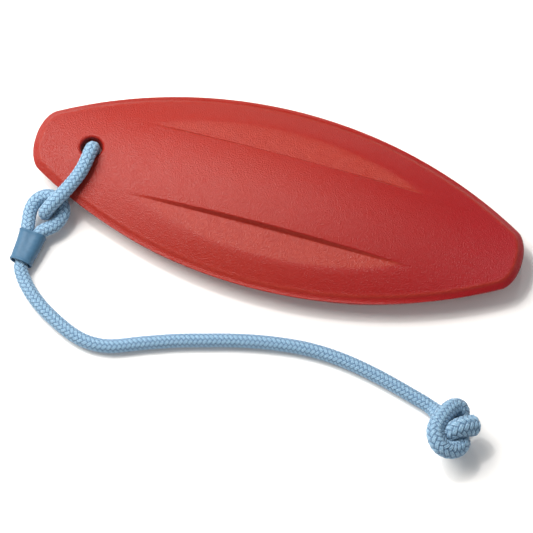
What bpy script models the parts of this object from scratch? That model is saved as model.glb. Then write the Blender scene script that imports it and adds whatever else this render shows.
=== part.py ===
"""Surfboard-shaped foam bobber float with a braided rope tether.

The float lies flat: +X runs from its hole end to its plain end, +Y to its left and +Z up, with the
origin under its middle.  A closed rope loop goes through the hole.  An eye in the end of the tether
is linked through that loop, held by a shrunk sleeve, and the tether ends in an overhand knot.
"""

import math

import bmesh
import bpy
import numpy as np
from mathutils import Vector

# Float outline
HALF_LENGTH = 0.140
HALF_WIDTH = 0.0545
SIDE_RADIUS = 0.2604
WIDEST_X = -0.0005
END_DEPTH = 0.007
END_POWER = 2.3

# Float section, as heights above the ground
RAIL_HEIGHT = 0.0155
DECK_RISE = 0.0165
DECK_CROWN = 0.99
DECK_CROWN_LIMIT = 0.015
DECK_CAMBER = 5.9
UPPER_RAIL_RADIUS = 0.0045
LOWER_RAIL_RADIUS = 0.006
BELLY_HALF_WIDTH = 0.020
BELLY_CAMBER = 9.0
END_SWEEP = 0.0098
SWEEP_START_X = 0.052
SWEEP_END_X = 0.108

# Scoops in the deck, one on each side of its ridge
SCOOP_EDGE_Y = 0.0214
SCOOP_WALL_SLANT = 0.0009
SCOOP_RIM_HEIGHT = 0.0233
SCOOP_DEPTH_SHARE = 0.6
SCOOP_CUTTER_HALF_LENGTH = 0.126
SCOOP_CUTTER_OUTER_Y = 0.0595
SCOOP_CUTTER_TOP = 0.0353
SCOOP_STEPS_ALONG = 28
SCOOP_STEPS_ACROSS = 8

# Hole for the rope
HOLE_X = -0.1073
HOLE_RADIUS = 0.006
HOLE_LIP_RADIUS = 0.002
HOLE_TOP = 0.0224
HOLE_BOTTOM = 0.0098
HOLE_CUTTER_EXCESS = 0.010

# Rope, sleeve and gaps
ROPE_DIAMETER = 0.008
SLEEVE_WALL = 0.0008

# Mesh fineness
STATIONS = 48
DECK_SHARES = (0, 0.3, 0.52, 0.7, 0.83, 0.92, 0.97, 1)
BELLY_SHARES = (0.28, 0.52, 0.73, 0.87, 0.95, 1)
BELLY_FLAT_MOST_SHARE = 0.42
OUTLINE_STEPS = 1500
SHARP_ANGLE = math.radians(35)
LIP_STEPS = 5
HOLE_SIDES = 36
SLEEVE_SEGMENTS = 28
ROPE_POINT_SPACING = 0.004
ROPE_BEVEL_RESOLUTION = 3
CURVE_STEPS = 24

# Routes, each through points on the rope's centreline
BOARD_LOOP_ROUTE = [
    (-0.1076, -0.0006, 0.0150),
    (-0.1074, -0.0010, 0.0205),
    (-0.1074, -0.0038, 0.0255),
    (-0.1075, -0.0092, 0.0268),
    (-0.1079, -0.0147, 0.0260),
    (-0.1092, -0.0201, 0.0248),
    (-0.1116, -0.0253, 0.0234),
    (-0.1143, -0.0305, 0.0220),
    (-0.1174, -0.0356, 0.0205),
    (-0.1203, -0.0394, 0.0171),
    (-0.1222, -0.0417, 0.0129),
    (-0.1219, -0.0396, 0.0085),
    (-0.1207, -0.0352, 0.0052),
    (-0.1188, -0.0298, 0.0043),
    (-0.1167, -0.0244, 0.0043),
    (-0.1146, -0.0190, 0.0044),
    (-0.1126, -0.0136, 0.0045),
    (-0.1104, -0.0078, 0.0050),
    (-0.1084, -0.0024, 0.0074),
    (-0.1077, -0.0006, 0.0110),
]
EYE_ROUTE = [
    (-0.1277, -0.0697, 0.0058),
    (-0.1283, -0.0668, 0.0060),
    (-0.1302, -0.0620, 0.0064),
    (-0.1305, -0.0570, 0.0072),
    (-0.1306, -0.0520, 0.0080),
    (-0.1312, -0.0470, 0.0086),
    (-0.1313, -0.0413, 0.0096),
    (-0.1296, -0.0358, 0.0110),
    (-0.1254, -0.0317, 0.0122),
    (-0.1200, -0.0312, 0.0128),
    (-0.1150, -0.0334, 0.0120),
    (-0.1126, -0.0376, 0.0108),
    (-0.1137, -0.0422, 0.0093),
    (-0.1166, -0.0469, 0.0087),
    (-0.1203, -0.0498, 0.0084),
    (-0.1226, -0.0525, 0.0080),
    (-0.1232, -0.0555, 0.0077),
    (-0.1233, -0.0610, 0.0069),
]
TAIL_ROUTE = [
    (-0.1276, -0.0702, 0.0058),
    (-0.1270, -0.0731, 0.0055),
    (-0.1258, -0.0760, 0.0048),
    (-0.1238, -0.0788, 0.0043),
    (-0.1201, -0.0832, 0.0042),
    (-0.1154, -0.0877, 0.0042),
    (-0.1098, -0.0921, 0.0042),
    (-0.1030, -0.0963, 0.0042),
    (-0.0956, -0.1002, 0.0042),
    (-0.0885, -0.1033, 0.0042),
    (-0.0807, -0.1054, 0.0042),
    (-0.0729, -0.1057, 0.0042),
    (-0.0655, -0.1044, 0.0042),
    (-0.0586, -0.1018, 0.0042),
    (-0.0510, -0.0986, 0.0042),
    (-0.0413, -0.0949, 0.0042),
    (-0.0308, -0.0912, 0.0042),
    (-0.0165, -0.0870, 0.0042),
    (-0.0022, -0.0830, 0.0042),
    (0.0150, -0.0793, 0.0042),
    (0.0341, -0.0769, 0.0042),
    (0.0490, -0.0768, 0.0042),
    (0.0640, -0.0784, 0.0042),
    (0.0790, -0.0814, 0.0042),
    (0.0910, -0.0845, 0.0042),
    (0.1010, -0.0874, 0.0042),
    (0.1062, -0.0889, 0.0043),
    (0.1104, -0.0903, 0.0045),
]
KNOT_ROUTE = [
    (0.1108, -0.0905, 0.0045),
    (0.1148, -0.0923, 0.0049),
    (0.1168, -0.0940, 0.0066),
    (0.1190, -0.0965, 0.0085),
    (0.1230, -0.1000, 0.0107),
    (0.1280, -0.1028, 0.0124),
    (0.1325, -0.1066, 0.0124),
    (0.1356, -0.1112, 0.0138),
    (0.1328, -0.1156, 0.0158),
    (0.1290, -0.1179, 0.0180),
    (0.1248, -0.1178, 0.0202),
    (0.1211, -0.1146, 0.0219),
    (0.1192, -0.1096, 0.0221),
    (0.1199, -0.1039, 0.0209),
    (0.1214, -0.0987, 0.0194),
    (0.1235, -0.0940, 0.0171),
    (0.1261, -0.0901, 0.0142),
    (0.1298, -0.0903, 0.0111),
    (0.1302, -0.0943, 0.0079),
    (0.1295, -0.0986, 0.0051),
    (0.1279, -0.1031, 0.0041),
    (0.1257, -0.1075, 0.0057),
    (0.1244, -0.1103, 0.0098),
    (0.1250, -0.1106, 0.0149),
    (0.1275, -0.1085, 0.0192),
    (0.1311, -0.1050, 0.0209),
    (0.1353, -0.1020, 0.0194),
    (0.1392, -0.0992, 0.0167),
    (0.1403, -0.0982, 0.0159),
]

# Sleeve, as stations along its axis: place, half width and half height of its outside
SLEEVE_STATIONS = [
    ((-0.1267, -0.0538, 0.0079), 0.0086, 0.0052),
    ((-0.1268, -0.0565, 0.0074), 0.0083, 0.0052),
    ((-0.1268, -0.0612, 0.0068), 0.0081, 0.0052),
    ((-0.1273, -0.0660, 0.0063), 0.0070, 0.0054),
    ((-0.1277, -0.0709, 0.0060), 0.0062, 0.0057),
]
SLEEVE_SECTION_POWER = 2.5
SQUEEZE_IN_SLEEVE = 0.85
SQUEEZE_START_Y = -0.0455
SQUEEZE_FULL_Y = -0.0520

# Colours and finishes: base colour, roughness
FOAM_RED = ((0.56, 0.075, 0.055), 0.55)
ROPE_BLUE = ((0.33, 0.55, 0.75), 0.8)
SLEEVE_BLUE = ((0.16, 0.38, 0.60), 0.45)


def clear_scene():
    for obj in list(bpy.data.objects):
        bpy.data.objects.remove(obj, do_unlink=True)


def new_collection(name):
    collection = bpy.data.collections.new(name)
    bpy.context.scene.collection.children.link(collection)
    return collection


def new_material(name, finish):
    material = bpy.data.materials.new(name)
    material.use_nodes = True
    shader = material.node_tree.nodes["Principled BSDF"]
    shader.inputs["Base Color"].default_value = (*finish[0], 1)
    shader.inputs["Roughness"].default_value = finish[1]
    shader.inputs["Metallic"].default_value = 0
    return material


def mesh_object(name, bm, collection, material=None):
    mesh = bpy.data.meshes.new(name)
    bm.to_mesh(mesh)
    bm.free()
    mesh.shade_smooth()
    mesh.set_sharp_from_angle(angle=SHARP_ANGLE)
    obj = bpy.data.objects.new(name, mesh)
    if material:
        mesh.materials.append(material)
    collection.objects.link(obj)
    return obj


def half_width(x):
    """Half the float's width at x: a long side arc, closed by a rounded, slightly bowed end."""
    side = math.sqrt(SIDE_RADIUS**2 - (x - WIDEST_X) ** 2) - (SIDE_RADIUS - HALF_WIDTH)
    into_end = min(1, (HALF_LENGTH - abs(x)) / END_DEPTH)
    return side * (1 - (1 - into_end) ** END_POWER) ** (1 / END_POWER)


def smooth_step(low, high, value):
    t = min(1, max(0, (value - low) / (high - low)))
    return t * t * (3 - 2 * t)


def deck_height(x, y):
    crown = DECK_CROWN_LIMIT * math.tanh(DECK_CROWN * x * x / DECK_CROWN_LIMIT)
    return RAIL_HEIGHT + DECK_RISE - crown - DECK_CAMBER * y * y


def belly_height(x, y):
    sweep = END_SWEEP * smooth_step(SWEEP_START_X, SWEEP_END_X, abs(x))
    return sweep + BELLY_CAMBER * max(0, abs(y) - BELLY_HALF_WIDTH) ** 2


def rounding(distance, radius):
    """How much of the section's height is reached at this distance inside the outline."""
    q = min(1, distance / radius)
    return math.sqrt(1 - (1 - q) ** 2)


def deck_lines(width):
    """Places across the deck, from its middle to its rail."""
    return [share * width for share in DECK_SHARES]


def belly_lines(width):
    """Places across the belly, from its middle to its rail, with one along the edge of its flat."""
    flat = min(BELLY_HALF_WIDTH, BELLY_FLAT_MOST_SHARE * width)
    return [0, flat / 2, flat] + [flat + share * (width - flat) for share in BELLY_SHARES]


def add_skin(bm, rows, tips, outward_up):
    """Faces over the rows of points and out to the two tips of the float."""
    for one, other in zip(rows, rows[1:]):
        for k in range(len(one) - 1):
            corners = (one[k], other[k], other[k + 1], one[k + 1])
            bm.faces.new(corners if outward_up else corners[::-1])
    for row, tip, near_end in ((rows[0], tips[0], True), (rows[-1], tips[1], False)):
        for k in range(len(row) - 1):
            corners = (row[k], tip, row[k + 1])
            bm.faces.new(corners[::-1] if near_end == outward_up else corners)


def float_blank(collection, material):
    """The moulded lens-shaped body, before its scoops and hole are cut."""
    xs = [-HALF_LENGTH * math.cos(math.pi * i / STATIONS) for i in range(STATIONS + 1)]
    edge_xs = np.linspace(-HALF_LENGTH, HALF_LENGTH, OUTLINE_STEPS)
    edge = np.array([(x, side * half_width(x)) for side in (-1, 1) for x in edge_xs])
    bm = bmesh.new()
    decks = []
    bellies = []
    for x in xs[1:-1]:
        width = half_width(x)
        rails = [bm.verts.new((x, side * width, RAIL_HEIGHT)) for side in (-1, 1)]
        for rows, lines, height, radius in (
            (decks, deck_lines(width), deck_height, UPPER_RAIL_RADIUS),
            (bellies, belly_lines(width), belly_height, LOWER_RAIL_RADIUS),
        ):
            row = [rails[0]]
            for y in [-y for y in reversed(lines[1:-1])] + lines[:-1]:
                inside = float(np.min(np.hypot(edge[:, 0] - x, edge[:, 1] - y)))
                rise = (height(x, y) - RAIL_HEIGHT) * rounding(inside, radius)
                row.append(bm.verts.new((x, y, RAIL_HEIGHT + rise)))
            rows.append([*row, rails[1]])
    tips = [bm.verts.new((x, 0, RAIL_HEIGHT)) for x in (xs[0], xs[-1])]
    add_skin(bm, decks, tips, outward_up=True)
    add_skin(bm, bellies, tips, outward_up=False)
    bm.normal_update()
    bmesh.ops.recalc_face_normals(bm, faces=bm.faces)
    return mesh_object("float_body", bm, collection, material)


def scoop_floor(x, y):
    """A shallower copy of the dome, which it meets along the scoop's outer rim."""
    dome = deck_height(x, y)
    return dome - SCOOP_DEPTH_SHARE * (dome - SCOOP_RIM_HEIGHT)


def scoop_cutter(name, side, collection):
    """A block over the whole scoop, with the scoop's floor below and its steep wall inside."""
    bm = bmesh.new()
    floors = []
    tops = []
    for x in np.linspace(-SCOOP_CUTTER_HALF_LENGTH, SCOOP_CUTTER_HALF_LENGTH, SCOOP_STEPS_ALONG + 1):
        for rows, slant in ((floors, SCOOP_WALL_SLANT), (tops, -SCOOP_WALL_SLANT)):
            row = []
            for y in np.linspace(SCOOP_EDGE_Y + slant, SCOOP_CUTTER_OUTER_Y, SCOOP_STEPS_ACROSS + 1):
                height = scoop_floor(x, y) if rows is floors else SCOOP_CUTTER_TOP
                row.append(bm.verts.new((x, side * y, height)))
            rows.append(row)
    for rows in (floors, tops):
        for one, other in zip(rows, rows[1:]):
            for k in range(SCOOP_STEPS_ACROSS):
                bm.faces.new((one[k], other[k], other[k + 1], one[k + 1]))
    for edge in (0, -1):
        for k in range(SCOOP_STEPS_ALONG):
            bm.faces.new((floors[k][edge], floors[k + 1][edge], tops[k + 1][edge], tops[k][edge]))
        for k in range(SCOOP_STEPS_ACROSS):
            bm.faces.new((floors[edge][k], floors[edge][k + 1], tops[edge][k + 1], tops[edge][k]))
    bm.normal_update()
    bmesh.ops.recalc_face_normals(bm, faces=bm.faces)
    return mesh_object(name, bm, collection)


def hole_cutter(collection):
    """A turned plug whose two ends flare out as rounded lips."""
    widest = HOLE_RADIUS + HOLE_LIP_RADIUS
    flares = []
    for k in range(LIP_STEPS + 1):
        angle = math.pi / 2 * k / LIP_STEPS
        reach = widest - HOLE_LIP_RADIUS * math.cos(angle)
        flares.append((reach, HOLE_LIP_RADIUS * (1 - math.sin(angle))))
    profile = [(0, HOLE_TOP + HOLE_CUTTER_EXCESS), (widest, HOLE_TOP + HOLE_CUTTER_EXCESS)]
    profile += [(reach, HOLE_TOP - depth) for reach, depth in reversed(flares)]
    profile += [(reach, HOLE_BOTTOM + depth) for reach, depth in flares]
    profile += [(widest, HOLE_BOTTOM - HOLE_CUTTER_EXCESS), (0, HOLE_BOTTOM - HOLE_CUTTER_EXCESS)]
    bm = bmesh.new()
    verts = [bm.verts.new((reach, 0, height)) for reach, height in profile]
    for one, other in zip(verts, verts[1:]):
        bm.edges.new((one, other))
    cutter = mesh_object("hole_cutter", bm, collection)
    cutter.location.x = HOLE_X
    screw = cutter.modifiers.new("Turn", "SCREW")
    screw.steps = HOLE_SIDES
    screw.render_steps = HOLE_SIDES
    screw.use_merge_vertices = True
    screw.merge_threshold = 1e-5
    return cutter


def cut(obj, cutter):
    boolean = obj.modifiers.new(f"Cut {cutter.name}", "BOOLEAN")
    boolean.operation = "DIFFERENCE"
    boolean.object = cutter
    cutter.hide_render = True
    cutter.display_type = "WIRE"


def blend(p, q, start, end, t):
    return (p * (end - t) + q * (t - start)) / (end - start)


def smooth_line(route, closed=False):
    """Evenly spaced points along a centripetal Catmull-Rom curve through the route."""
    points = [np.array(p) for p in route]
    if closed:
        points = [points[-1], *points, points[0], points[1]]
    else:
        points = [2 * points[0] - points[1], *points, 2 * points[-1] - points[-2]]
    fine = []
    for four in zip(points, points[1:], points[2:], points[3:]):
        steps = [np.linalg.norm(b - a) ** 0.5 for a, b in zip(four, four[1:])]
        k = np.cumsum([0, *steps])
        for t in np.linspace(k[1], k[2], CURVE_STEPS, endpoint=False):
            a = [blend(four[i], four[i + 1], k[i], k[i + 1], t) for i in range(3)]
            b = [blend(a[i], a[i + 1], k[i], k[i + 2], t) for i in range(2)]
            fine.append(blend(b[0], b[1], k[1], k[2], t))
    fine.append(points[-2])
    fine = np.array(fine)
    along = np.concatenate([[0], np.cumsum(np.linalg.norm(np.diff(fine, axis=0), axis=1))])
    count = round(along[-1] / ROPE_POINT_SPACING)
    even = np.linspace(0, along[-1], count + 1)[: count if closed else None]
    return np.column_stack([np.interp(even, along, fine[:, axis]) for axis in range(3)])


def rope_tube(name, route, collection, material, closed=False, thickness=lambda place: 1):
    """A rope as a plain tube, whose thickness may narrow where something squeezes it."""
    curve = bpy.data.curves.new(name, "CURVE")
    curve.dimensions = "3D"
    curve.bevel_depth = ROPE_DIAMETER / 2
    curve.bevel_resolution = ROPE_BEVEL_RESOLUTION
    curve.use_fill_caps = not closed
    line = smooth_line(route, closed)
    spline = curve.splines.new("POLY")
    spline.points.add(len(line) - 1)
    for point, place in zip(spline.points, line):
        point.co = (*place, 1)
        point.radius = thickness(place)
    spline.use_cyclic_u = closed
    curve.materials.append(material)
    obj = bpy.data.objects.new(name, curve)
    collection.objects.link(obj)
    return obj


def squeezed_in_sleeve(place):
    """The eye's legs narrow as they enter the sleeve that is shrunk on them."""
    share = 1 - smooth_step(SQUEEZE_FULL_Y, SQUEEZE_START_Y, place[1])
    return 1 - (1 - SQUEEZE_IN_SLEEVE) * share


def shrunk_sleeve(collection, material):
    """A thin sleeve lofted between a wide mouth over two legs and a rounder one over the tail."""
    bm = bmesh.new()
    axis = Vector(SLEEVE_STATIONS[-1][0]) - Vector(SLEEVE_STATIONS[0][0])
    across = Vector((-axis.y, axis.x, 0)).normalized()
    upward = across.cross(axis).normalized()
    upward *= math.copysign(1, upward.z)
    rings = []
    for wall in (0, SLEEVE_WALL):
        for place, half_wide, half_high in SLEEVE_STATIONS:
            ring = []
            for k in range(SLEEVE_SEGMENTS):
                angle = 2 * math.pi * k / SLEEVE_SEGMENTS
                c, s = math.cos(angle), math.sin(angle)
                u = math.copysign(abs(c) ** (2 / SLEEVE_SECTION_POWER), c) * (half_wide - wall)
                v = math.copysign(abs(s) ** (2 / SLEEVE_SECTION_POWER), s) * (half_high - wall)
                ring.append(bm.verts.new(Vector(place) + across * u + upward * v))
            rings.append(ring)
    count = len(SLEEVE_STATIONS)
    loops = rings[:count] + rings[count:][::-1]
    for one, other in zip(loops, loops[1:] + loops[:1]):
        for k in range(SLEEVE_SEGMENTS):
            following = (k + 1) % SLEEVE_SEGMENTS
            bm.faces.new((one[k], one[following], other[following], other[k]))
    bm.normal_update()
    bmesh.ops.recalc_face_normals(bm, faces=bm.faces)
    return mesh_object("eye_sleeve", bm, collection, material)


def build():
    clear_scene()
    parts = new_collection("bobber_float")
    cutters = new_collection("cutters")
    foam = new_material("foam", FOAM_RED)
    rope = new_material("rope", ROPE_BLUE)
    film = new_material("sleeve", SLEEVE_BLUE)

    body = float_blank(parts, foam)
    cut(body, scoop_cutter("left_scoop_cutter", 1, cutters))
    cut(body, scoop_cutter("right_scoop_cutter", -1, cutters))
    cut(body, hole_cutter(cutters))

    rope_tube("board_loop", BOARD_LOOP_ROUTE, parts, rope, closed=True)
    rope_tube("tether_eye", EYE_ROUTE, parts, rope, thickness=squeezed_in_sleeve)
    shrunk_sleeve(parts, film)
    rope_tube("tether_tail", TAIL_ROUTE, parts, rope)
    rope_tube("end_knot", KNOT_ROUTE, parts, rope)


build()
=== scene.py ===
"""Foam bobber float with a braided rope loop and tether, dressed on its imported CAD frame.

Every rope is braided in mesh code.  The tether is one continuous braid, split where its eye, tail
and knot meet.  The float repeats the CAD's formulas on a finer grid, with rounder edges.
"""

import math

import bpy
import numpy as np
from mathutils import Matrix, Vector


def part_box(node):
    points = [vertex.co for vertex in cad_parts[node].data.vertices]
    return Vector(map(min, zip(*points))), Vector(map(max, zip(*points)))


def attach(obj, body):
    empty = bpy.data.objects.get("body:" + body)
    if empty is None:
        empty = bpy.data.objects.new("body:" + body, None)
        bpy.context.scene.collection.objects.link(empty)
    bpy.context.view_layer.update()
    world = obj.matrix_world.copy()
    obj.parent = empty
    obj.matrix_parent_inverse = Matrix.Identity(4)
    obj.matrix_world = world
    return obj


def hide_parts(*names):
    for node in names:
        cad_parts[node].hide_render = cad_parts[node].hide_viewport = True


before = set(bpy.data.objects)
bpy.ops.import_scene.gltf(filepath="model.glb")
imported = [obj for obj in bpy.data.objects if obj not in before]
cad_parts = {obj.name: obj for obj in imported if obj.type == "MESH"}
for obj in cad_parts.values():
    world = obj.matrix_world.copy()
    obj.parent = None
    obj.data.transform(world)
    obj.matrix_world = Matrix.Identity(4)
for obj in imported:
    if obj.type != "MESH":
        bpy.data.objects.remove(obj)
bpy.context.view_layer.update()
float_low, float_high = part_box("float_body")

# Camera: direction, what it looks at and how wide it sees
AZIMUTH = math.radians(15.8)
ELEVATION = math.radians(68.0)
VIEW_CENTRE = Vector((0.0033, -0.0341, 0))
VIEW_WIDTH = 0.2957
CAMERA_DISTANCE = 2.5

# Lights: name, place, size, power and colour
LIGHTS = [
    ("key", (-0.75, 0.20, 1.05), 1.1, 26, (1, 0.965, 0.91)),
    ("low", (-0.75, -0.65, 0.55), 0.35, 1.0, (1, 0.98, 0.95)),
    ("glint", (-0.48, 0.22, 1.22), 0.10, 4.2, (1, 0.97, 0.95)),
    ("sheen", (0.02, 0.60, 1.20), 0.10, 1.0, (1, 0.97, 0.95)),
]
SKY_STRENGTH = 0.36
FLOOR_SIZE = 6
FLOOR_HEIGHT = -0.0001
FLOOR_COLOUR = (0.93, 0.93, 0.93)
FLOOR_ROUGHNESS = 0.9

# Rope routes, each through points on the centreline.  They are the CAD's, but for two places where
# the rope lies closer to its neighbour: the loop in its hole, and the eye's left leg.
BOARD_LOOP_ROUTE = [
    (-0.1071, -0.0001, 0.0150),
    (-0.1065, -0.0001, 0.0205),
    (-0.1064, -0.0030, 0.0256),
    (-0.1067, -0.0086, 0.0270),
    (-0.1075, -0.0145, 0.0261),
    (-0.1092, -0.0201, 0.0248),
    (-0.1116, -0.0253, 0.0234),
    (-0.1143, -0.0305, 0.0220),
    (-0.1174, -0.0356, 0.0205),
    (-0.1203, -0.0394, 0.0171),
    (-0.1222, -0.0417, 0.0129),
    (-0.1219, -0.0396, 0.0085),
    (-0.1207, -0.0352, 0.0052),
    (-0.1188, -0.0298, 0.0043),
    (-0.1167, -0.0244, 0.0043),
    (-0.1146, -0.0190, 0.0044),
    (-0.1126, -0.0136, 0.0045),
    (-0.1104, -0.0078, 0.0050),
    (-0.1084, -0.0024, 0.0074),
    (-0.1077, -0.0006, 0.0110),
]
EYE_ROUTE = [
    (-0.1233, -0.0610, 0.0069),
    (-0.1232, -0.0555, 0.0077),
    (-0.1226, -0.0525, 0.0080),
    (-0.1203, -0.0498, 0.0084),
    (-0.1166, -0.0469, 0.0087),
    (-0.1137, -0.0422, 0.0093),
    (-0.1126, -0.0376, 0.0108),
    (-0.1150, -0.0334, 0.0120),
    (-0.1200, -0.0312, 0.0128),
    (-0.1254, -0.0317, 0.0122),
    (-0.1296, -0.0358, 0.0110),
    (-0.1309, -0.0413, 0.0096),
    (-0.1303, -0.0470, 0.0086),
    (-0.1295, -0.0520, 0.0080),
    (-0.1293, -0.0570, 0.0072),
    (-0.1292, -0.0620, 0.0064),
    (-0.1280, -0.0668, 0.0060),
    (-0.1277, -0.0697, 0.0058),
]
TAIL_ROUTE = [
    (-0.1276, -0.0702, 0.0058),
    (-0.1270, -0.0731, 0.0055),
    (-0.1258, -0.0760, 0.0048),
    (-0.1238, -0.0788, 0.0043),
    (-0.1201, -0.0832, 0.0042),
    (-0.1154, -0.0877, 0.0042),
    (-0.1098, -0.0921, 0.0042),
    (-0.1030, -0.0963, 0.0042),
    (-0.0956, -0.1002, 0.0042),
    (-0.0885, -0.1033, 0.0042),
    (-0.0807, -0.1054, 0.0042),
    (-0.0729, -0.1057, 0.0042),
    (-0.0655, -0.1044, 0.0042),
    (-0.0586, -0.1018, 0.0042),
    (-0.0510, -0.0986, 0.0042),
    (-0.0413, -0.0949, 0.0042),
    (-0.0308, -0.0912, 0.0042),
    (-0.0165, -0.0870, 0.0042),
    (-0.0022, -0.0830, 0.0042),
    (0.0150, -0.0793, 0.0042),
    (0.0341, -0.0769, 0.0042),
    (0.0490, -0.0768, 0.0042),
    (0.0640, -0.0784, 0.0042),
    (0.0790, -0.0814, 0.0042),
    (0.0910, -0.0845, 0.0042),
    (0.1010, -0.0874, 0.0042),
    (0.1062, -0.0889, 0.0043),
    (0.1104, -0.0903, 0.0045),
]
KNOT_ROUTE = [
    (0.1108, -0.0905, 0.0045),
    (0.1148, -0.0923, 0.0049),
    (0.1168, -0.0940, 0.0066),
    (0.1190, -0.0965, 0.0085),
    (0.1230, -0.1000, 0.0107),
    (0.1280, -0.1028, 0.0124),
    (0.1325, -0.1066, 0.0124),
    (0.1356, -0.1112, 0.0138),
    (0.1328, -0.1156, 0.0158),
    (0.1290, -0.1179, 0.0180),
    (0.1248, -0.1178, 0.0202),
    (0.1211, -0.1146, 0.0219),
    (0.1192, -0.1096, 0.0221),
    (0.1199, -0.1039, 0.0209),
    (0.1214, -0.0987, 0.0194),
    (0.1235, -0.0940, 0.0171),
    (0.1261, -0.0901, 0.0142),
    (0.1298, -0.0903, 0.0111),
    (0.1302, -0.0943, 0.0079),
    (0.1295, -0.0986, 0.0051),
    (0.1279, -0.1031, 0.0041),
    (0.1257, -0.1075, 0.0057),
    (0.1244, -0.1103, 0.0098),
    (0.1250, -0.1106, 0.0149),
    (0.1275, -0.1085, 0.0192),
    (0.1311, -0.1050, 0.0209),
    (0.1353, -0.1020, 0.0194),
    (0.1392, -0.0992, 0.0167),
    (0.1403, -0.0982, 0.0159),
]

# Braid: sixteen carriers of paired yarns, eight each way, over two and under two
ROPE_DIAMETER = 0.008
STRAND_CROWN = 0.0001
STRANDS_EACH_WAY = 8
CROSSING_LENGTH = 0.00263
STEPS_PER_CROSSING = 8
POINTS_PER_RING = STRANDS_EACH_WAY * STEPS_PER_CROSSING
RING_STEP = CROSSING_LENGTH / (2 * STEPS_PER_CROSSING)
STRAND_RELIEF = 0.00055
STRAND_LIFT_POWER = 0.6
PAIR_GROOVE = 0.42
PAIR_GROOVE_POWER = 6
YARN_PATTERN_SHIFT = 311
CURVE_STEPS = 24
LINE_SMOOTHING = 0.0015
FLOOR_GAP = 0.0001

# A cut end: a rounded shoulder, then a low dome of fused yarn
CUT_END_ROUND = 0.0016
CUT_END_NARROWING = 0.36
CUT_END_BULGE = 0.0007
CUT_END_REACH = 4
# Height on its strand given to a cut end's middle, which sets how much painted shade the yarn material puts
# there
CUT_END_HEIGHT = 0.5

# The knot is pulled tight, which fattens its turns and, most of all, its end
KNOT_FATTENING = 0.27
KNOT_START_LENGTH = 0.012
KNOT_END_FATTENING = 0.48
KNOT_END_LENGTH = 0.018
KNOT_TIGHTENING = 0.05
KNOT_MIDDLE = np.array((0.1277, -0.1040, 0.0150))

# The legs of the eye narrow inside the shrunk sleeve
SQUEEZE_IN_SLEEVE = 0.85
SQUEEZE_START_Y = -0.0490
SQUEEZE_FULL_Y = -0.0580
SQUEEZE_RELEASE_Y = -0.0700
SQUEEZE_END_Y = -0.0735

# Sleeve stations along its axis: place, half width, half height of its outside
SLEEVE_STATIONS = [
    ((-0.1258, -0.0538, 0.0079), 0.0077, 0.0052),
    ((-0.1260, -0.0565, 0.0074), 0.0075, 0.0052),
    ((-0.1264, -0.0612, 0.0068), 0.0071, 0.0053),
    ((-0.1271, -0.0660, 0.0063), 0.0067, 0.0055),
    ((-0.1277, -0.0709, 0.0060), 0.0062, 0.0057),
]
SLEEVE_WALL = 0.0008
SLEEVE_SECTION_POWER = 2.5
SLEEVE_AROUND = 120
SLEEVE_ALONG = 44
SLEEVE_RIM_STEPS = 6
SLEEVE_SMOOTHING_ROWS = 3
SLEEVE_WAIST = 0.10
SLEEVE_WAIST_WIDTH = 0.3
SLEEVE_ROLL = 0.00035
SLEEVE_ROLL_LENGTH = 0.0007

# Ripples in the sleeve: height, then waves round it and radians per metre along it
RIPPLE_HEIGHT = 0.00003
BROAD_RIPPLES = (5, 900)
BROAD_RIPPLE_FADING = 620
BROAD_RIPPLE_PHASE = 1.1
FINE_RIPPLES = (9, -1500)
FINE_RIPPLE_SHARE = 0.6
FINE_RIPPLE_PHASE = 2

# Float: the CAD's driving dimensions, with rounded edges on its rail and its scoops
HALF_LENGTH = float_high.x
HALF_WIDTH = float_high.y
SIDE_RADIUS = 0.2604
WIDEST_X = -0.0005
END_DEPTH = 0.007
END_POWER = 2.3
RAIL_HEIGHT = 0.0155
DECK_TOP = float_high.z
DECK_CROWN = 0.99
DECK_CROWN_LIMIT = 0.015
DECK_CAMBER = 5.9
UPPER_RAIL_RADIUS = 0.0042
UPPER_RAIL_POWER = 0.62
UPPER_RAIL_BLEND = 0.05
RIDGE_INSIDE = 0.0036
RIDGE_BREADTH = 0.0009
RIDGE_BEAD = 0.00022
# Share of the ridge's painted highlight
RIDGE_PAINTED_HIGHLIGHT = 0.9
LOWER_RAIL_RADIUS = 0.006
BELLY_HALF_WIDTH = 0.020
BELLY_CAMBER = 9.0
END_SWEEP = 0.0098
SWEEP_START_X = 0.052
SWEEP_END_X = 0.108
SCOOP_EDGE_Y = 0.0214
SCOOP_WALL_SLANT = 0.0009
SCOOP_WALL_ROUND = 0.0004
SCOOP_RIM_HEIGHT = 0.0233
SCOOP_DEPTH_SHARE = 0.6
SCOOP_EDGE_BLEND = 0.00035
# Rise over the scoop rims across which the scoop floors' painted light fades in
SCOOP_PAINTED_LIGHT_DEPTH = 0.0008
HOLE_X = -0.1073
HOLE_RADIUS = 0.006
HOLE_LIP_RADIUS = 0.002

# Float mesh: spacing along it and across it, stretch by stretch, as end and spacing
TIP_STATIONS = 14
FIRST_STATION_X = -0.133
ALONG_STRETCHES = [(-0.118, 0.0011), (-0.096, 0.0005), (0.133, 0.0012)]
INNER_STRETCHES = [(0.009, 0.0006), (0.0198, 0.0012), (0.0234, 0.0003), (0.026, 0.0009)]
INNER_SHARE = 0.64
OUTER_LINES = 42
OUTER_LINES_POWER = 1.8
OUTLINE_STEPS = 1600

# Hole cutter
HOLE_SIDES = 96
HOLE_LIP_STEPS = 12
HOLE_CUTTER_EXCESS = 0.008


# ---------------------------------------------------------------- camera and stage

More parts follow.
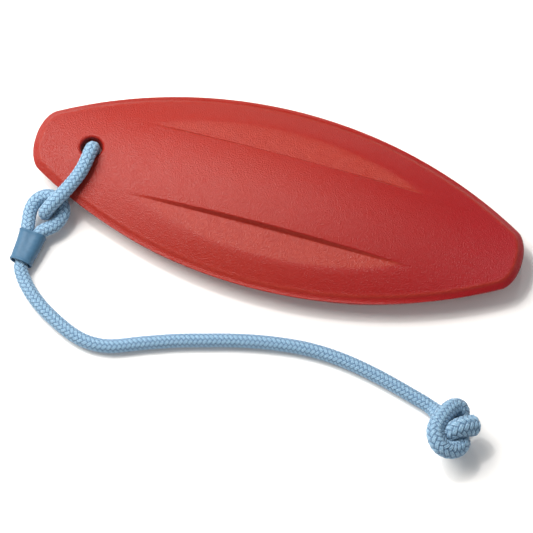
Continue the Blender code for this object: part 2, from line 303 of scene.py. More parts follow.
def add_camera():
    data = bpy.data.cameras.new("camera")
    data.sensor_width = 36
    data.lens = data.sensor_width * CAMERA_DISTANCE / VIEW_WIDTH
    data.clip_end = 2 * CAMERA_DISTANCE
    camera = bpy.data.objects.new("camera", data)
    bpy.context.scene.collection.objects.link(camera)
    level = math.cos(ELEVATION)
    back = Vector((math.sin(AZIMUTH) * level, -math.cos(AZIMUTH) * level, math.sin(ELEVATION)))
    camera.location = VIEW_CENTRE + back * CAMERA_DISTANCE
    camera.rotation_euler = back.to_track_quat("Z", "Y").to_euler()
    bpy.context.scene.camera = camera


def add_area_light(name, place, size, power, colour):
    data = bpy.data.lights.new(name, "AREA")
    data.shape = "DISK"
    data.size = size
    data.energy = power
    data.color = colour
    lamp = bpy.data.objects.new(name, data)
    lamp.location = place
    lamp.rotation_euler = Vector(place).to_track_quat("Z", "Y").to_euler()
    bpy.context.scene.collection.objects.link(lamp)


def add_stage():
    scene = bpy.context.scene
    scene.view_settings.view_transform = "Standard"
    world = bpy.data.worlds.new("studio")
    world.use_nodes = True
    sky = world.node_tree.nodes["Background"]
    sky.inputs["Color"].default_value = (1, 1, 1, 1)
    sky.inputs["Strength"].default_value = SKY_STRENGTH
    scene.world = world
    for light in LIGHTS:
        add_area_light(*light)
    bpy.ops.mesh.primitive_plane_add(size=FLOOR_SIZE, location=(0, 0, FLOOR_HEIGHT))
    floor = bpy.context.object
    floor.name = "floor"
    floor.data.materials.append(new_material("floor_paper", FLOOR_COLOUR, FLOOR_ROUGHNESS))


# ---------------------------------------------------------------- materials

def new_material(name, colour, roughness):
    material = bpy.data.materials.new(name)
    material.use_nodes = True
    shader = material.node_tree.nodes["Principled BSDF"]
    shader.inputs["Base Color"].default_value = (*colour, 1)
    shader.inputs["Roughness"].default_value = roughness
    return material


def node(material, kind, **inputs):
    made = material.node_tree.nodes.new(kind)
    for name, value in inputs.items():
        made.inputs[name.replace("_", " ")].default_value = value
    return made


def ramp(material, stops):
    made = material.node_tree.nodes.new("ShaderNodeValToRGB")
    elements = made.color_ramp.elements
    for element, (place, colour) in zip([elements[0], elements[1]], stops[:2]):
        element.position = place
        element.color = (*colour, 1)
    for place, colour in stops[2:]:
        elements.new(place).color = (*colour, 1)
    return made


def rope_material():
    """Heathered filament yarn: streaks along each strand, with painted shade down between the strands and a
    faint painted highlight on their crowns.
    """
    material = new_material("braided_yarn", (0.3, 0.5, 0.7), 0.72)
    links = material.node_tree.links
    shader = material.node_tree.nodes["Principled BSDF"]
    shader.inputs["Sheen Weight"].default_value = 0.15
    shader.inputs["Specular IOR Level"].default_value = 0.35
    strand = node(material, "ShaderNodeUVMap")
    strand.uv_map = "strand"
    stretch = node(material, "ShaderNodeMapping")
    stretch.inputs["Scale"].default_value = (5.0, 2.6, 1)
    links.new(strand.outputs["UV"], stretch.inputs["Vector"])
    streaks = node(material, "ShaderNodeTexNoise", Scale=1.0, Detail=3.0, Roughness=0.65)
    links.new(stretch.outputs["Vector"], streaks.inputs["Vector"])
    yarn = ramp(material, [
        (0.32, (0.125, 0.255, 0.39)),
        (0.5, (0.225, 0.385, 0.54)),
        (0.68, (0.47, 0.62, 0.74)),
    ])
    links.new(streaks.outputs["Fac"], yarn.inputs["Fac"])
    # Painted shade: each point's height on its strand darkens the yarn down between the strands and
    # lightens it a touch on their crowns
    depth = node(material, "ShaderNodeAttribute")
    depth.attribute_name = "depth"
    shade = ramp(material, [
        (0.0, (0.22, 0.28, 0.37)),
        (0.5, (0.80, 0.84, 0.88)),
        (1.0, (1.06, 1.05, 1.04)),
    ])
    links.new(depth.outputs["Fac"], shade.inputs["Fac"])
    mix = node(material, "ShaderNodeMix")
    mix.data_type = "RGBA"
    mix.blend_type = "MULTIPLY"
    mix.inputs["Factor"].default_value = 1
    links.new(yarn.outputs["Color"], mix.inputs["A"])
    links.new(shade.outputs["Color"], mix.inputs["B"])
    links.new(mix.outputs["Result"], shader.inputs["Base Color"])
    bump = node(material, "ShaderNodeBump", Strength=0.5, Distance=0.00012)
    links.new(streaks.outputs["Fac"], bump.inputs["Height"])
    links.new(bump.outputs["Normal"], shader.inputs["Normal"])
    return material


def foam_material():
    """Moulded closed-cell foam: a finely stippled skin with painted light: paler over its lit hole-end half
    and darker crimson towards its shaded far end, lighter on the scoop floors and with a painted highlight
    along the ridge.
    """
    material = new_material("moulded_foam", (0.56, 0.075, 0.055), 0.5)
    links = material.node_tree.links
    shader = material.node_tree.nodes["Principled BSDF"]
    shader.inputs["Specular IOR Level"].default_value = 0.32
    place = node(material, "ShaderNodeTexCoord")
    mottle = node(material, "ShaderNodeTexNoise", Scale=500.0, Detail=4.0, Roughness=0.6)
    grain = node(material, "ShaderNodeTexVoronoi", Scale=1500.0, Randomness=1.0)
    fine = node(material, "ShaderNodeTexNoise", Scale=2400.0, Detail=2.0)
    for texture in (mottle, grain, fine):
        links.new(place.outputs["Object"], texture.inputs["Vector"])
    # Painted light along the float: the hole end, where the lights and their sheen fall, is painted paler
    # and hazier, and the far end darker crimson, as if in shade
    lit_end_tone = ramp(material, [(0.25, (0.258, 0.0080, 0.0022)), (0.75, (0.295, 0.0116, 0.0040))])
    shaded_end_tone = ramp(material, [(0.25, (0.243, 0.0004, 0.0036)), (0.75, (0.282, 0.0010, 0.0062))])
    # Painted light tone for the lit scoop floors and the ridge's painted highlight
    painted_light_tone = ramp(material, [(0.30, (0.260, 0.0100, 0.0036)), (0.72, (0.325, 0.0250, 0.0120))])
    for tone in (lit_end_tone, shaded_end_tone, painted_light_tone):
        links.new(mottle.outputs["Fac"], tone.inputs["Fac"])
    apart = node(material, "ShaderNodeSeparateXYZ")
    links.new(place.outputs["Object"], apart.inputs["Vector"])
    along = node(material, "ShaderNodeMapRange", From_Min=-0.02, From_Max=0.14)
    links.new(apart.outputs["X"], along.inputs["Value"])
    painted_end_light = node(material, "ShaderNodeMix")
    painted_end_light.data_type = "RGBA"
    links.new(along.outputs["Result"], painted_end_light.inputs["Factor"])
    links.new(lit_end_tone.outputs["Color"], painted_end_light.inputs["A"])
    links.new(shaded_end_tone.outputs["Color"], painted_end_light.inputs["B"])
    # Painted light: the scoop floors are painted lighter, as if lit more, and the ridge round the outline
    # gets a painted highlight
    painted_light = node(material, "ShaderNodeAttribute")
    painted_light.attribute_name = "painted_light"
    colour = node(material, "ShaderNodeMix")
    colour.data_type = "RGBA"
    links.new(painted_light.outputs["Fac"], colour.inputs["Factor"])
    links.new(painted_end_light.outputs["Result"], colour.inputs["A"])
    links.new(painted_light_tone.outputs["Color"], colour.inputs["B"])
    links.new(colour.outputs["Result"], shader.inputs["Base Color"])
    gloss = node(material, "ShaderNodeMapRange")
    gloss.inputs["To Min"].default_value = 0.24
    gloss.inputs["To Max"].default_value = 0.44
    links.new(fine.outputs["Fac"], gloss.inputs["Value"])
    links.new(gloss.outputs["Result"], shader.inputs["Roughness"])
    add = node(material, "ShaderNodeMath")
    add.operation = "ADD"
    links.new(grain.outputs["Distance"], add.inputs[0])
    links.new(fine.outputs["Fac"], add.inputs[1])
    bump = node(material, "ShaderNodeBump", Strength=0.6, Distance=0.0003)
    links.new(add.outputs["Value"], bump.inputs["Height"])
    links.new(bump.outputs["Normal"], shader.inputs["Normal"])
    return material


def sleeve_material():
    """Heat-shrunk polyolefin, slightly waxy."""
    material = new_material("shrunk_film", (0.08, 0.18, 0.28), 0.52)
    links = material.node_tree.links
    shader = material.node_tree.nodes["Principled BSDF"]
    shader.inputs["Specular IOR Level"].default_value = 0.3
    place = node(material, "ShaderNodeTexCoord")
    ripple = node(material, "ShaderNodeTexNoise", Scale=420.0, Detail=3.0, Roughness=0.6)
    links.new(place.outputs["Object"], ripple.inputs["Vector"])
    colour = ramp(material, [(0.3, (0.041, 0.113, 0.200)), (0.7, (0.051, 0.134, 0.230))])
    links.new(ripple.outputs["Fac"], colour.inputs["Fac"])
    links.new(colour.outputs["Color"], shader.inputs["Base Color"])
    bump = node(material, "ShaderNodeBump", Strength=0.15, Distance=0.0001)
    links.new(ripple.outputs["Fac"], bump.inputs["Height"])
    links.new(bump.outputs["Normal"], shader.inputs["Normal"])
    return material


# ---------------------------------------------------------------- meshes

def mesh_object(name, points, faces, material, smooth=True):
    mesh = bpy.data.meshes.new(name)
    mesh.from_pydata(points, [], faces)
    if material:
        mesh.materials.append(material)
    if smooth:
        mesh.shade_smooth()
    obj = bpy.data.objects.new(name, mesh)
    bpy.context.scene.collection.objects.link(obj)
    return obj


def smooth_step(low, high, value):
    t = np.clip((value - low) / (high - low), 0, 1)
    return t * t * (3 - 2 * t)


# ---------------------------------------------------------------- ropes

def blend(p, q, start, end, t):
    return (p * (end - t) + q * (t - start)) / (end - start)


def rope_line(route, closed, step):
    """Evenly spaced points along a smoothed centripetal Catmull-Rom curve through the route."""
    points = [np.array(p) for p in route]
    if closed:
        points = [points[-1], *points, points[0], points[1]]
    else:
        points = [2 * points[0] - points[1], *points, 2 * points[-1] - points[-2]]
    fine = []
    for four in zip(points, points[1:], points[2:], points[3:]):
        steps = [max(1e-4, np.linalg.norm(b - a)) ** 0.5 for a, b in zip(four, four[1:])]
        k = np.cumsum([0, *steps])
        for t in np.linspace(k[1], k[2], CURVE_STEPS, endpoint=False):
            a = [blend(four[i], four[i + 1], k[i], k[i + 1], t) for i in range(3)]
            b = [blend(a[i], a[i + 1], k[i], k[i + 2], t) for i in range(2)]
            fine.append(blend(b[0], b[1], k[1], k[2], t))
    fine.append(points[-2])
    line = resample(np.array(fine), step / 2)
    reach = int(3 * LINE_SMOOTHING / (step / 2))
    weights = np.exp(-0.5 * (np.arange(-reach, reach + 1) * step / 2 / LINE_SMOOTHING) ** 2)
    weights /= weights.sum()
    if closed:
        padded = np.concatenate([line[-reach - 1:-1], line, line[1:reach + 1]])
    else:
        before = 2 * line[0] - line[reach:0:-1]
        after = 2 * line[-1] - line[-2:-reach - 2:-1]
        padded = np.concatenate([before, line, after])
    line = np.column_stack([np.convolve(padded[:, axis], weights, "valid") for axis in range(3)])
    return resample(line, step)


def resample(line, step):
    along = np.concatenate([[0], np.cumsum(np.linalg.norm(np.diff(line, axis=0), axis=1))])
    count = 2 * round(along[-1] / step / 2)
    even = np.linspace(0, along[-1], count + 1)
    return np.column_stack([np.interp(even, along, line[:, axis]) for axis in range(3)])


def turning_frames(line, closed):
    """Two directions across the line at each point, carried along it without twist."""
    if closed:
        ahead = np.roll(line[:-1], -1, axis=0) - np.roll(line[:-1], 1, axis=0)
        ahead = np.concatenate([ahead, ahead[:1]])
    else:
        ahead = np.gradient(line, axis=0)
    ahead /= np.linalg.norm(ahead, axis=1)[:, None]
    side = np.cross(ahead[0], (0, 0, 1))
    if np.linalg.norm(side) < 0.1:
        side = np.cross(ahead[0], (1, 0, 0))
    sides = [side / np.linalg.norm(side)]
    for direction in ahead[1:]:
        side = sides[-1] - direction * (sides[-1] @ direction)
        sides.append(side / np.linalg.norm(side))
    sides = np.array(sides)
    others = np.cross(ahead, sides)
    if closed:
        slip = math.atan2(sides[-1] @ others[0], sides[-1] @ sides[0])
        turn = -slip * np.linspace(0, 1, len(line))[:, None]
        sides, others = (
            sides * np.cos(turn) + others * np.sin(turn),
            others * np.cos(turn) - sides * np.sin(turn),
        )
    return sides, others


def braid_relief(s, t):
    """Height from 0 to 1 of a two-over, two-under braid at lattice places s and t.

    Strands of one hand lie along constant s and those of the other along constant t."""
    i, j = np.floor(s), np.floor(t)
    phase = (i + j) % 4
    first_on_top = phase < 2
    across = np.where(first_on_top, s - i, t - j)
    along = (phase % 2 + np.where(first_on_top, t - j, s - i)) / 2
    crown = np.sqrt(np.clip(1 - (2 * across - 1) ** 2, 0, 1))
    groove = PAIR_GROOVE * np.cos(np.pi * (across - 0.5)) ** PAIR_GROOVE_POWER
    lift = np.sin(np.pi * along) ** STRAND_LIFT_POWER
    return crown * (1 - groove) * lift


def braid_surface(line, frames, rings, thickness):
    """The points of the braid on these rings of a rope's line, and each one's height on its strand."""
    sides, others = frames
    ring, place = np.meshgrid(rings, np.arange(POINTS_PER_RING), indexing="ij")
    angle = 2 * np.pi * (place + (ring % 2) / 2) / POINTS_PER_RING
    s = (place + (ring + ring % 2) // 2) / STEPS_PER_CROSSING
    t = (place - (ring - ring % 2) // 2) / STEPS_PER_CROSSING
    relief = braid_relief(s, t)
    radius = ROPE_DIAMETER / 2 + STRAND_CROWN - STRAND_RELIEF * (1 - relief)
    radius = radius * thickness[rings][:, None]
    across = np.cos(angle)[..., None] * sides[rings][:, None]
    upward = np.sin(angle)[..., None] * others[rings][:, None]
    points = line[rings][:, None] + (across + upward) * radius[..., None]
    return points.reshape(-1, 3), relief.ravel()


def braid_index(ring, place, count):
    """The number of a point on one of this many rings."""
    return (ring % count) * POINTS_PER_RING + place % POINTS_PER_RING


def braid_faces(rings, closed):
    """Diamond faces along the strands, and the place of each of their corners on its strand."""
    count = len(rings)
    place = np.arange(POINTS_PER_RING)
    faces = []
    strand_places = []
    for r in range(count if closed else count - 2):
        parity = int(rings[r] % 2)
        left = braid_index(r, place, count)
        up = braid_index(r + 1, place + parity, count)
        down = braid_index(r + 1, place + parity - 1, count)
        right = braid_index(r + 2, place, count)
        faces.append(np.column_stack([up, right, down, left]))
        low_s = place + (rings[r] + parity) // 2
        low_t = place - (rings[r] - parity) // 2
        corner_s = np.column_stack([low_s + 1, low_s + 1, low_s, low_s])
        corner_t = np.column_stack([low_t, low_t - 1, low_t - 1, low_t])
        cell = low_s // STEPS_PER_CROSSING + (low_t - 1) // STEPS_PER_CROSSING
        first_on_top = (cell % 4 < 2)[:, None]
        along = np.where(first_on_top, corner_s, corner_t + YARN_PATTERN_SHIFT)
        across = np.where(first_on_top, corner_t, corner_s)
        strand_places.append(np.stack([along, across], axis=-1).reshape(-1, 2) / STEPS_PER_CROSSING)
    return np.concatenate(faces).tolist(), np.concatenate(strand_places)


def cut_end_cap(line, rings, end, middle_index):
    """The middle point of a cut end's dome, and the triangles that close the end around it."""
    count = len(rings)
    ring, inner, ahead = (0, 1, 1) if end == "start" else (count - 1, count - 2, -1)
    outward = line[rings[ring]] - line[rings[ring + CUT_END_REACH * ahead]]
    middle = line[rings[ring]] + outward * (CUT_END_BULGE / np.linalg.norm(outward))
    place = np.arange(POINTS_PER_RING)
    shift = int(rings[inner] % 2)
    side = braid_index(ring, place + shift - 1, count)
    following = braid_index(ring, place + shift, count)
    teeth = np.column_stack([braid_index(inner, place, count), side, following])
    fan = np.column_stack([np.full(POINTS_PER_RING, middle_index), following, side])
    faces = np.concatenate([teeth, fan])
    return middle, (faces[:, ::-1] if end == "start" else faces).tolist()


def braided_rope(name, line, material, thickness, frames, first=0, last=None, closed=False, cut=()):
    """A length of the braid between two rings of a rope's line.

    The ends named in cut, "start" and "end", are closed with a low dome of fused yarn."""
    last = len(line) - 1 if last is None else last
    rings = np.arange(first, last + (0 if closed else 1))
    points, heights = braid_surface(line, frames, rings, thickness)
    faces, strand_places = braid_faces(rings, closed)
    for end in cut:
        middle, cap = cut_end_cap(line, rings, end, len(points))
        points = np.concatenate([points, [middle]])
        heights = np.append(heights, CUT_END_HEIGHT)
        faces += cap
        turn = np.tile(np.repeat(np.arange(POINTS_PER_RING) / STEPS_PER_CROSSING, 3), 2)
        strand_places = np.concatenate([strand_places, np.column_stack([turn, turn])])
    rope = mesh_object(name, points, faces, material)
    layer = rope.data.uv_layers.new(name="strand")
    layer.data.foreach_set("uv", strand_places.astype(np.float32).ravel())
    # Each point's height on its strand, which the yarn material turns into painted shade between the
    # strands
    depth = rope.data.attributes.new("depth", "FLOAT", "POINT")
    depth.data.foreach_set("value", heights.astype(np.float32))
    return rope


def rounded_end(distance):
    """Thickness near a cut end, this far from it: a rounded shoulder."""
    near = np.clip(1 - distance / CUT_END_ROUND, 0, 1)
    return 1 - CUT_END_NARROWING * near**2


# ---------------------------------------------------------------- sleeve

def sleeve_rows():
    """Even rows along the sleeve: how far along each is, its middle, half width and half height."""
    stations = np.array([[*place, wide, high] for place, wide, high in SLEEVE_STATIONS])
    run = np.concatenate([[0], np.cumsum(np.linalg.norm(np.diff(stations[:, :3], axis=0), axis=1))])
    along = np.linspace(0, 1, SLEEVE_ALONG + 1) * run[-1]
    rows = np.column_stack([np.interp(along, run, stations[:, column]) for column in range(5)])
    reach = 2 * SLEEVE_SMOOTHING_ROWS
    weights = np.exp(-0.5 * (np.arange(-reach, reach + 1) / SLEEVE_SMOOTHING_ROWS) ** 2)
    weights /= weights.sum()
    before = 2 * rows[0] - rows[reach:0:-1]
    after = 2 * rows[-1] - rows[-2:-reach - 2:-1]
    padded = np.concatenate([before, rows, after])
    rows = np.column_stack([np.convolve(padded[:, column], weights, "valid") for column in range(5)])
    return along, rows


def sleeve_ripple(angle, at_along):
    """The faint unevenness of shrunk film: broad waves that come and go, and finer ones."""
    turns, pitch = BROAD_RIPPLES
    broad = np.sin(turns * angle + pitch * at_along)
    broad *= np.sin(BROAD_RIPPLE_FADING * at_along + BROAD_RIPPLE_PHASE)
    turns, pitch = FINE_RIPPLES
    fine = np.sin(turns * angle + pitch * at_along + FINE_RIPPLE_PHASE)
    return RIPPLE_HEIGHT * (broad + FINE_RIPPLE_SHARE * fine)


def sleeve_mesh(material):
    """A thin shrunk sleeve: a waisted mouth over two legs, narrowing to a rounder end over the tail."""
    along, table = sleeve_rows()
    axis = np.array(SLEEVE_STATIONS[-1][0]) - np.array(SLEEVE_STATIONS[0][0])
    across = np.array([-axis[1], axis[0], 0]) / np.hypot(axis[0], axis[1])
    upward = np.cross(across, axis)
    upward *= math.copysign(1, upward[2]) / np.linalg.norm(upward)
    angle = 2 * math.pi * np.arange(SLEEVE_AROUND) / SLEEVE_AROUND
    c, s = np.cos(angle), np.sin(angle)
    unit_u = np.sign(c) * np.abs(c) ** (2 / SLEEVE_SECTION_POWER)
    unit_v = np.sign(s) * np.abs(s) ** (2 / SLEEVE_SECTION_POWER)
    waist = SLEEVE_WAIST * np.exp(-((unit_u / SLEEVE_WAIST_WIDTH) ** 2))

    def ring(row, inset):
        place, wide, high = table[row, :3], table[row, 3] - inset, table[row, 4] - inset
        left = 1 - along[row] / along[-1]
        ripple = sleeve_ripple(angle, along[row])
        u = unit_u * (wide + ripple)
        v = unit_v * (high + ripple) * (1 - waist * left)
        return place + across * u[:, None] + upward * v[:, None]

    def roll(row):
        from_end = min(along[row], along[-1] - along[row]) / SLEEVE_ROLL_LENGTH
        return -SLEEVE_ROLL * math.exp(-(from_end**2))

    rows = range(SLEEVE_ALONG + 1)
    rings = [ring(row, roll(row)) for row in rows]
    for end_row, order in ((SLEEVE_ALONG, rows[::-1]), (0, ())):
        outside, inside = roll(end_row), SLEEVE_WALL
        direction = axis / np.linalg.norm(axis) * (1 if end_row else -1)
        turns = np.linspace(0, math.pi, SLEEVE_RIM_STEPS + 2)[1:-1]
        for turn in turns if end_row else turns[::-1]:
            inset = (outside + inside) / 2 - (inside - outside) / 2 * math.cos(turn)
            bulge = direction * (inside - outside) / 2 * math.sin(turn)
            rings.append(ring(end_row, inset) + bulge)
        rings += [ring(row, SLEEVE_WALL) for row in order]
    place = np.arange(SLEEVE_AROUND)
    following = (place + 1) % SLEEVE_AROUND
    faces = []
    for k in range(len(rings)):
        one, other = k * SLEEVE_AROUND, (k + 1) % len(rings) * SLEEVE_AROUND
        faces += np.column_stack([one + place, other + place, other + following, one + following]).tolist()
    return mesh_object("shrunk_sleeve", np.concatenate(rings), faces, material)


# ---------------------------------------------------------------- float

def half_width(x):
    side = np.sqrt(SIDE_RADIUS**2 - (x - WIDEST_X) ** 2) - (SIDE_RADIUS - HALF_WIDTH)
    into_end = np.clip((HALF_LENGTH - np.abs(x)) / END_DEPTH, 0, 1)
    return side * (1 - (1 - into_end) ** END_POWER) ** (1 / END_POWER)


def soft_positive(value, blend):
    """The value where it is well above 0 and 0 where it is well below, with a round bend between."""
    return blend * np.logaddexp(0, value / blend)


def dome_height(x, y):
    crown = DECK_CROWN_LIMIT * np.tanh(DECK_CROWN * x * x / DECK_CROWN_LIMIT)
    return DECK_TOP - crown - DECK_CAMBER * y * y


def deck_height(x, y):
    """The dome with its two scoops, each a steep inner wall over a shallower copy of the dome."""
    dome = dome_height(x, y)
    depth = SCOOP_DEPTH_SHARE * soft_positive(dome - SCOOP_RIM_HEIGHT, SCOOP_EDGE_BLEND)
    low = SCOOP_EDGE_Y - SCOOP_WALL_ROUND
    high = SCOOP_EDGE_Y + SCOOP_WALL_SLANT + SCOOP_WALL_ROUND
    return dome - depth * smooth_step(low, high, np.abs(y))


def scoop_share(x, y):
    """1 in the scoops and 0 outside them, from how far the dome stands over their rims: the mask of the
    scoop floors' painted light.
    """
    above_rim = dome_height(x, y) - SCOOP_RIM_HEIGHT
    return smooth_step(0, SCOOP_PAINTED_LIGHT_DEPTH, above_rim) * (np.abs(y) > SCOOP_EDGE_Y)


def ridge_share(inside):
    """1 on the ridge where the deck turns over into the side and 0 away from it. It places the ridge's bead
    and its painted highlight.
    """
    return np.exp(-(((inside - RIDGE_INSIDE) / RIDGE_BREADTH) ** 2))


def belly_height(x, y):
    sweep = END_SWEEP * smooth_step(SWEEP_START_X, SWEEP_END_X, np.abs(x))
    return sweep + BELLY_CAMBER * np.clip(np.abs(y) - BELLY_HALF_WIDTH, 0, None) ** 2


def upper_rail(inside):
    """Share of the deck's rise this far in from the outline: a steep side with a round ridge."""
    q = inside / UPPER_RAIL_RADIUS
    return 1 - soft_positive(1 - q**UPPER_RAIL_POWER, UPPER_RAIL_BLEND)


def lower_rail(inside):
    q = np.clip(inside / LOWER_RAIL_RADIUS, 0, 1)
    return np.sqrt(1 - (1 - q) ** 2)


def stretched(start, stretches):
    """Places from start on, evenly spaced within each stretch."""
    places = [np.array([start])]
    for end, spacing in stretches:
        count = max(1, round((end - start) / spacing))
        places.append(np.linspace(start, end, count + 1)[1:])
        start = end
    return np.concatenate(places)


def float_stations():
    """Places along the float, closer together at its tips and round its hole."""
    tip = np.linspace(0, 1, TIP_STATIONS + 1)[1:] ** 2
    last = ALONG_STRETCHES[-1][0]
    return np.concatenate([
        -HALF_LENGTH + tip * (FIRST_STATION_X + HALF_LENGTH),
        stretched(FIRST_STATION_X, ALONG_STRETCHES)[1:],
        (HALF_LENGTH - tip * (HALF_LENGTH - last))[::-1][1:],
    ])


def float_lines(widths):
    """Places across the float at each station, parallel to the scoops' creases in its middle."""
    inner = stretched(0, INNER_STRETCHES)
    pull = np.minimum(1, widths * INNER_SHARE / inner[-1])
    outer = 1 - (1 - np.linspace(0, 1, OUTER_LINES + 1)[1:]) ** OUTER_LINES_POWER
    half = np.concatenate([
        inner[None, :] * pull[:, None],
        inner[-1] * pull[:, None] + outer * (widths - inner[-1] * pull)[:, None],
    ], axis=1)
    return np.concatenate([-half[:, :0:-1], half], axis=1)


def float_faces(rows, columns, tips):
    """Faces of the deck and the belly, which share the points of the rail and the two tips."""
    deck_index = np.arange(rows * columns).reshape(rows, columns)
    belly_index = deck_index.copy()
    belly_index[:, 1:-1] = rows * columns + np.arange(rows * (columns - 2)).reshape(rows, -1)
    faces = []
    for index, up in ((deck_index, True), (belly_index, False)):
        quads = np.dstack([index[:-1, :-1], index[1:, :-1], index[1:, 1:], index[:-1, 1:]])
        quads = quads.reshape(-1, 4)
        faces += (quads if up else quads[:, ::-1]).tolist()
        for row, tip, at_start in ((index[0], tips[0], True), (index[-1], tips[1], False)):
            fan = np.column_stack([row[:-1], np.full(columns - 1, tip), row[1:]])
            faces += (fan[:, ::-1] if at_start == up else fan).tolist()
    return faces


def float_mesh(material):
    """The float's skin before its hole is cut, marked with where light is painted: lighter scoop floors and
    a painted highlight along the ridge.
    """
    xs = float_stations()
    ys = float_lines(half_width(xs))
    rows, columns = ys.shape
    x_grid = np.repeat(xs[:, None], columns, axis=1)
    inside = distance_to_outline(x_grid, np.abs(ys))
    deck = RAIL_HEIGHT + (deck_height(x_grid, ys) - RAIL_HEIGHT) * upper_rail(inside)
    deck += RIDGE_BEAD * ridge_share(inside)
    belly = RAIL_HEIGHT - (RAIL_HEIGHT - belly_height(x_grid, ys)) * lower_rail(inside)
    deck_points = np.dstack([x_grid, ys, deck]).reshape(-1, 3)
    belly_points = np.dstack([x_grid, ys, belly])[:, 1:-1].reshape(-1, 3)
    tips = [(-HALF_LENGTH, 0, RAIL_HEIGHT), (HALF_LENGTH, 0, RAIL_HEIGHT)]
    points = np.concatenate([deck_points, belly_points, tips])
    faces = float_faces(rows, columns, (len(points) - 2, len(points) - 1))
    body = mesh_object("foam_float", points, faces, material)
    # Painted light on the deck: lighter scoop floors and a painted highlight on the ridge, none on the
    # belly
    painted_light = body.data.attributes.new("painted_light", "FLOAT", "POINT")
    deck_painted_light = np.clip(scoop_share(x_grid, ys) + RIDGE_PAINTED_HIGHLIGHT * ridge_share(inside), 0, 1).ravel()
    painted_light.data.foreach_set("value", np.concatenate([deck_painted_light, np.zeros(len(points) - rows * columns)]))
    return body


def distance_to_outline(x, y):
    """How far each point is from the nearest point of the outline, and 0 for those on it."""
    edge_xs = HALF_LENGTH * np.sin(np.linspace(-math.pi / 2, math.pi / 2, OUTLINE_STEPS))
    edge_ys = half_width(edge_xs)
    nearest = np.empty(x.shape)
    for row in range(x.shape[0]):
        spread = np.hypot(edge_xs - x[row][:, None], edge_ys - y[row][:, None])
        nearest[row] = spread.min(axis=1)
    nearest[:, [0, -1]] = 0
    return nearest


def hole_cutter():
    """A plug whose ends flare out to meet the deck and the belly in rounded lips."""
    turns = np.linspace(0, 2 * math.pi, HOLE_SIDES + 1)[:-1]
    widest = HOLE_RADIUS + HOLE_LIP_RADIUS
    lips = []
    for angle in np.linspace(0, 1, HOLE_LIP_STEPS + 1) * math.pi / 2:
        lips.append((widest - HOLE_LIP_RADIUS * math.sin(angle), HOLE_LIP_RADIUS * (1 - math.cos(angle))))
    rings = []
    for height, sign, order in ((deck_height, -1, lips), (belly_height, 1, lips[::-1])):
        for reach, depth in order:
            x = HOLE_X + reach * np.cos(turns)
            y = reach * np.sin(turns)
            rings.append(np.column_stack([x, y, height(x, y) + sign * depth]))
    excess = np.array([0, 0, HOLE_CUTTER_EXCESS])
    points = np.concatenate([rings[0] + excess, *rings, rings[-1] - excess])
    first_ring = np.arange(HOLE_SIDES)
    faces = [first_ring.tolist(), (len(points) - 1 - first_ring).tolist()]
    for ring in range(len(rings) + 1):
        for k in range(HOLE_SIDES):
            a, b = ring * HOLE_SIDES + k, ring * HOLE_SIDES + (k + 1) % HOLE_SIDES
            faces.append([a, a + HOLE_SIDES, b + HOLE_SIDES, b])
    return mesh_object("hole_cutter", points, faces, None, smooth=False)


def cut_hole(body):
    cutter = hole_cutter()
    boolean = body.modifiers.new("hole", "BOOLEAN")
    boolean.operation = "DIFFERENCE"
    boolean.solver = "EXACT"
    boolean.object = cutter
    depsgraph = bpy.context.evaluated_depsgraph_get()
    mesh = bpy.data.meshes.new_from_object(body.evaluated_get(depsgraph))
    body.modifiers.clear()
    body.data = mesh
    bpy.data.objects.remove(cutter)
    mesh.shade_smooth()
    return body


# ---------------------------------------------------------------- dressed pieces

def line_length(line):
    return float(np.linalg.norm(np.diff(line, axis=0), axis=1).sum())


def dress(piece, body, cad_node):
    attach(piece, body)
    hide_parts(cad_node)


def add_loop(yarn):
    """The closed ring of rope, with a whole number of crossings in it."""
    length = line_length(rope_line(BOARD_LOOP_ROUTE, True, RING_STEP))
    crossings = round(length / CROSSING_LENGTH)
    line = rope_line(BOARD_LOOP_ROUTE, True, length / crossings / (2 * STEPS_PER_CROSSING))
    frames = turning_frames(line, True)
    loop = braided_rope("loop_rope", line, yarn, np.ones(len(line)), frames, closed=True)
    dress(loop, "board_loop", "board_loop")


def nearest_ring(line, place):
    ring = int(np.argmin(np.linalg.norm(line - np.array(place), axis=1)))
    return ring - ring % 2


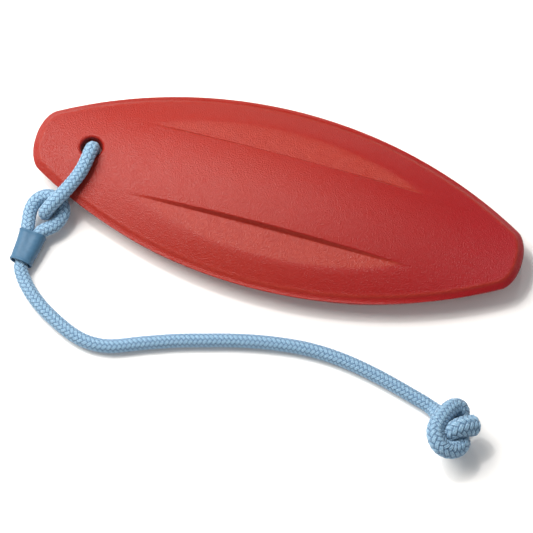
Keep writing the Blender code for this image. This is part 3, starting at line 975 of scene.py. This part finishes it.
def tether_shape(line, knot_start):
    """The tether's line with its knot pulled tight and all of it above the floor, and its thickness."""
    along = np.concatenate([[0], np.cumsum(np.linalg.norm(np.diff(line, axis=0), axis=1))])
    before_end = along[-1] - along
    in_sleeve = 1 - smooth_step(SQUEEZE_FULL_Y, SQUEEZE_START_Y, line[:, 1])
    in_sleeve *= smooth_step(SQUEEZE_END_Y, SQUEEZE_RELEASE_Y, line[:, 1])
    in_knot = smooth_step(0, KNOT_START_LENGTH, along - along[knot_start])
    in_knot_end = 1 - smooth_step(KNOT_END_LENGTH / 2, KNOT_END_LENGTH, before_end)
    thickness = 1 - (1 - SQUEEZE_IN_SLEEVE) * in_sleeve
    thickness += KNOT_FATTENING * in_knot + (KNOT_END_FATTENING - KNOT_FATTENING) * in_knot_end
    thickness *= rounded_end(along) * rounded_end(before_end)
    tightened = line + (KNOT_MIDDLE - line) * KNOT_TIGHTENING * in_knot[:, None]
    lowest = (ROPE_DIAMETER / 2 + STRAND_CROWN) * thickness + FLOOR_GAP
    tightened[:, 2] = np.maximum(tightened[:, 2], lowest)
    return tightened, thickness


def add_tether(yarn):
    """The eye, the tail and the knot as one braid, and the sleeve on it."""
    line = rope_line(EYE_ROUTE + TAIL_ROUTE + KNOT_ROUTE, False, RING_STEP)
    tail_start = nearest_ring(line, TAIL_ROUTE[0])
    knot_start = nearest_ring(line, KNOT_ROUTE[0])
    line, thickness = tether_shape(line, knot_start)
    shared = (line, yarn, thickness, turning_frames(line, False))
    eye = braided_rope("eye_rope", *shared, 0, tail_start + 2, cut=["start"])
    tail = braided_rope("tail_rope", *shared, tail_start, knot_start + 2)
    knot = braided_rope("knot_rope", *shared, knot_start, cut=["end"])
    sleeve = sleeve_mesh(sleeve_material())
    dress(eye, "tether", "tether_eye")
    dress(tail, "tether", "tether_tail")
    dress(knot, "tether", "end_knot")
    dress(sleeve, "tether", "eye_sleeve")


def add_float():
    body = cut_hole(float_mesh(foam_material()))
    dress(body, "float", "float_body")


add_camera()
add_stage()
braided_yarn = rope_material()
add_loop(braided_yarn)
add_tether(braided_yarn)
add_float()
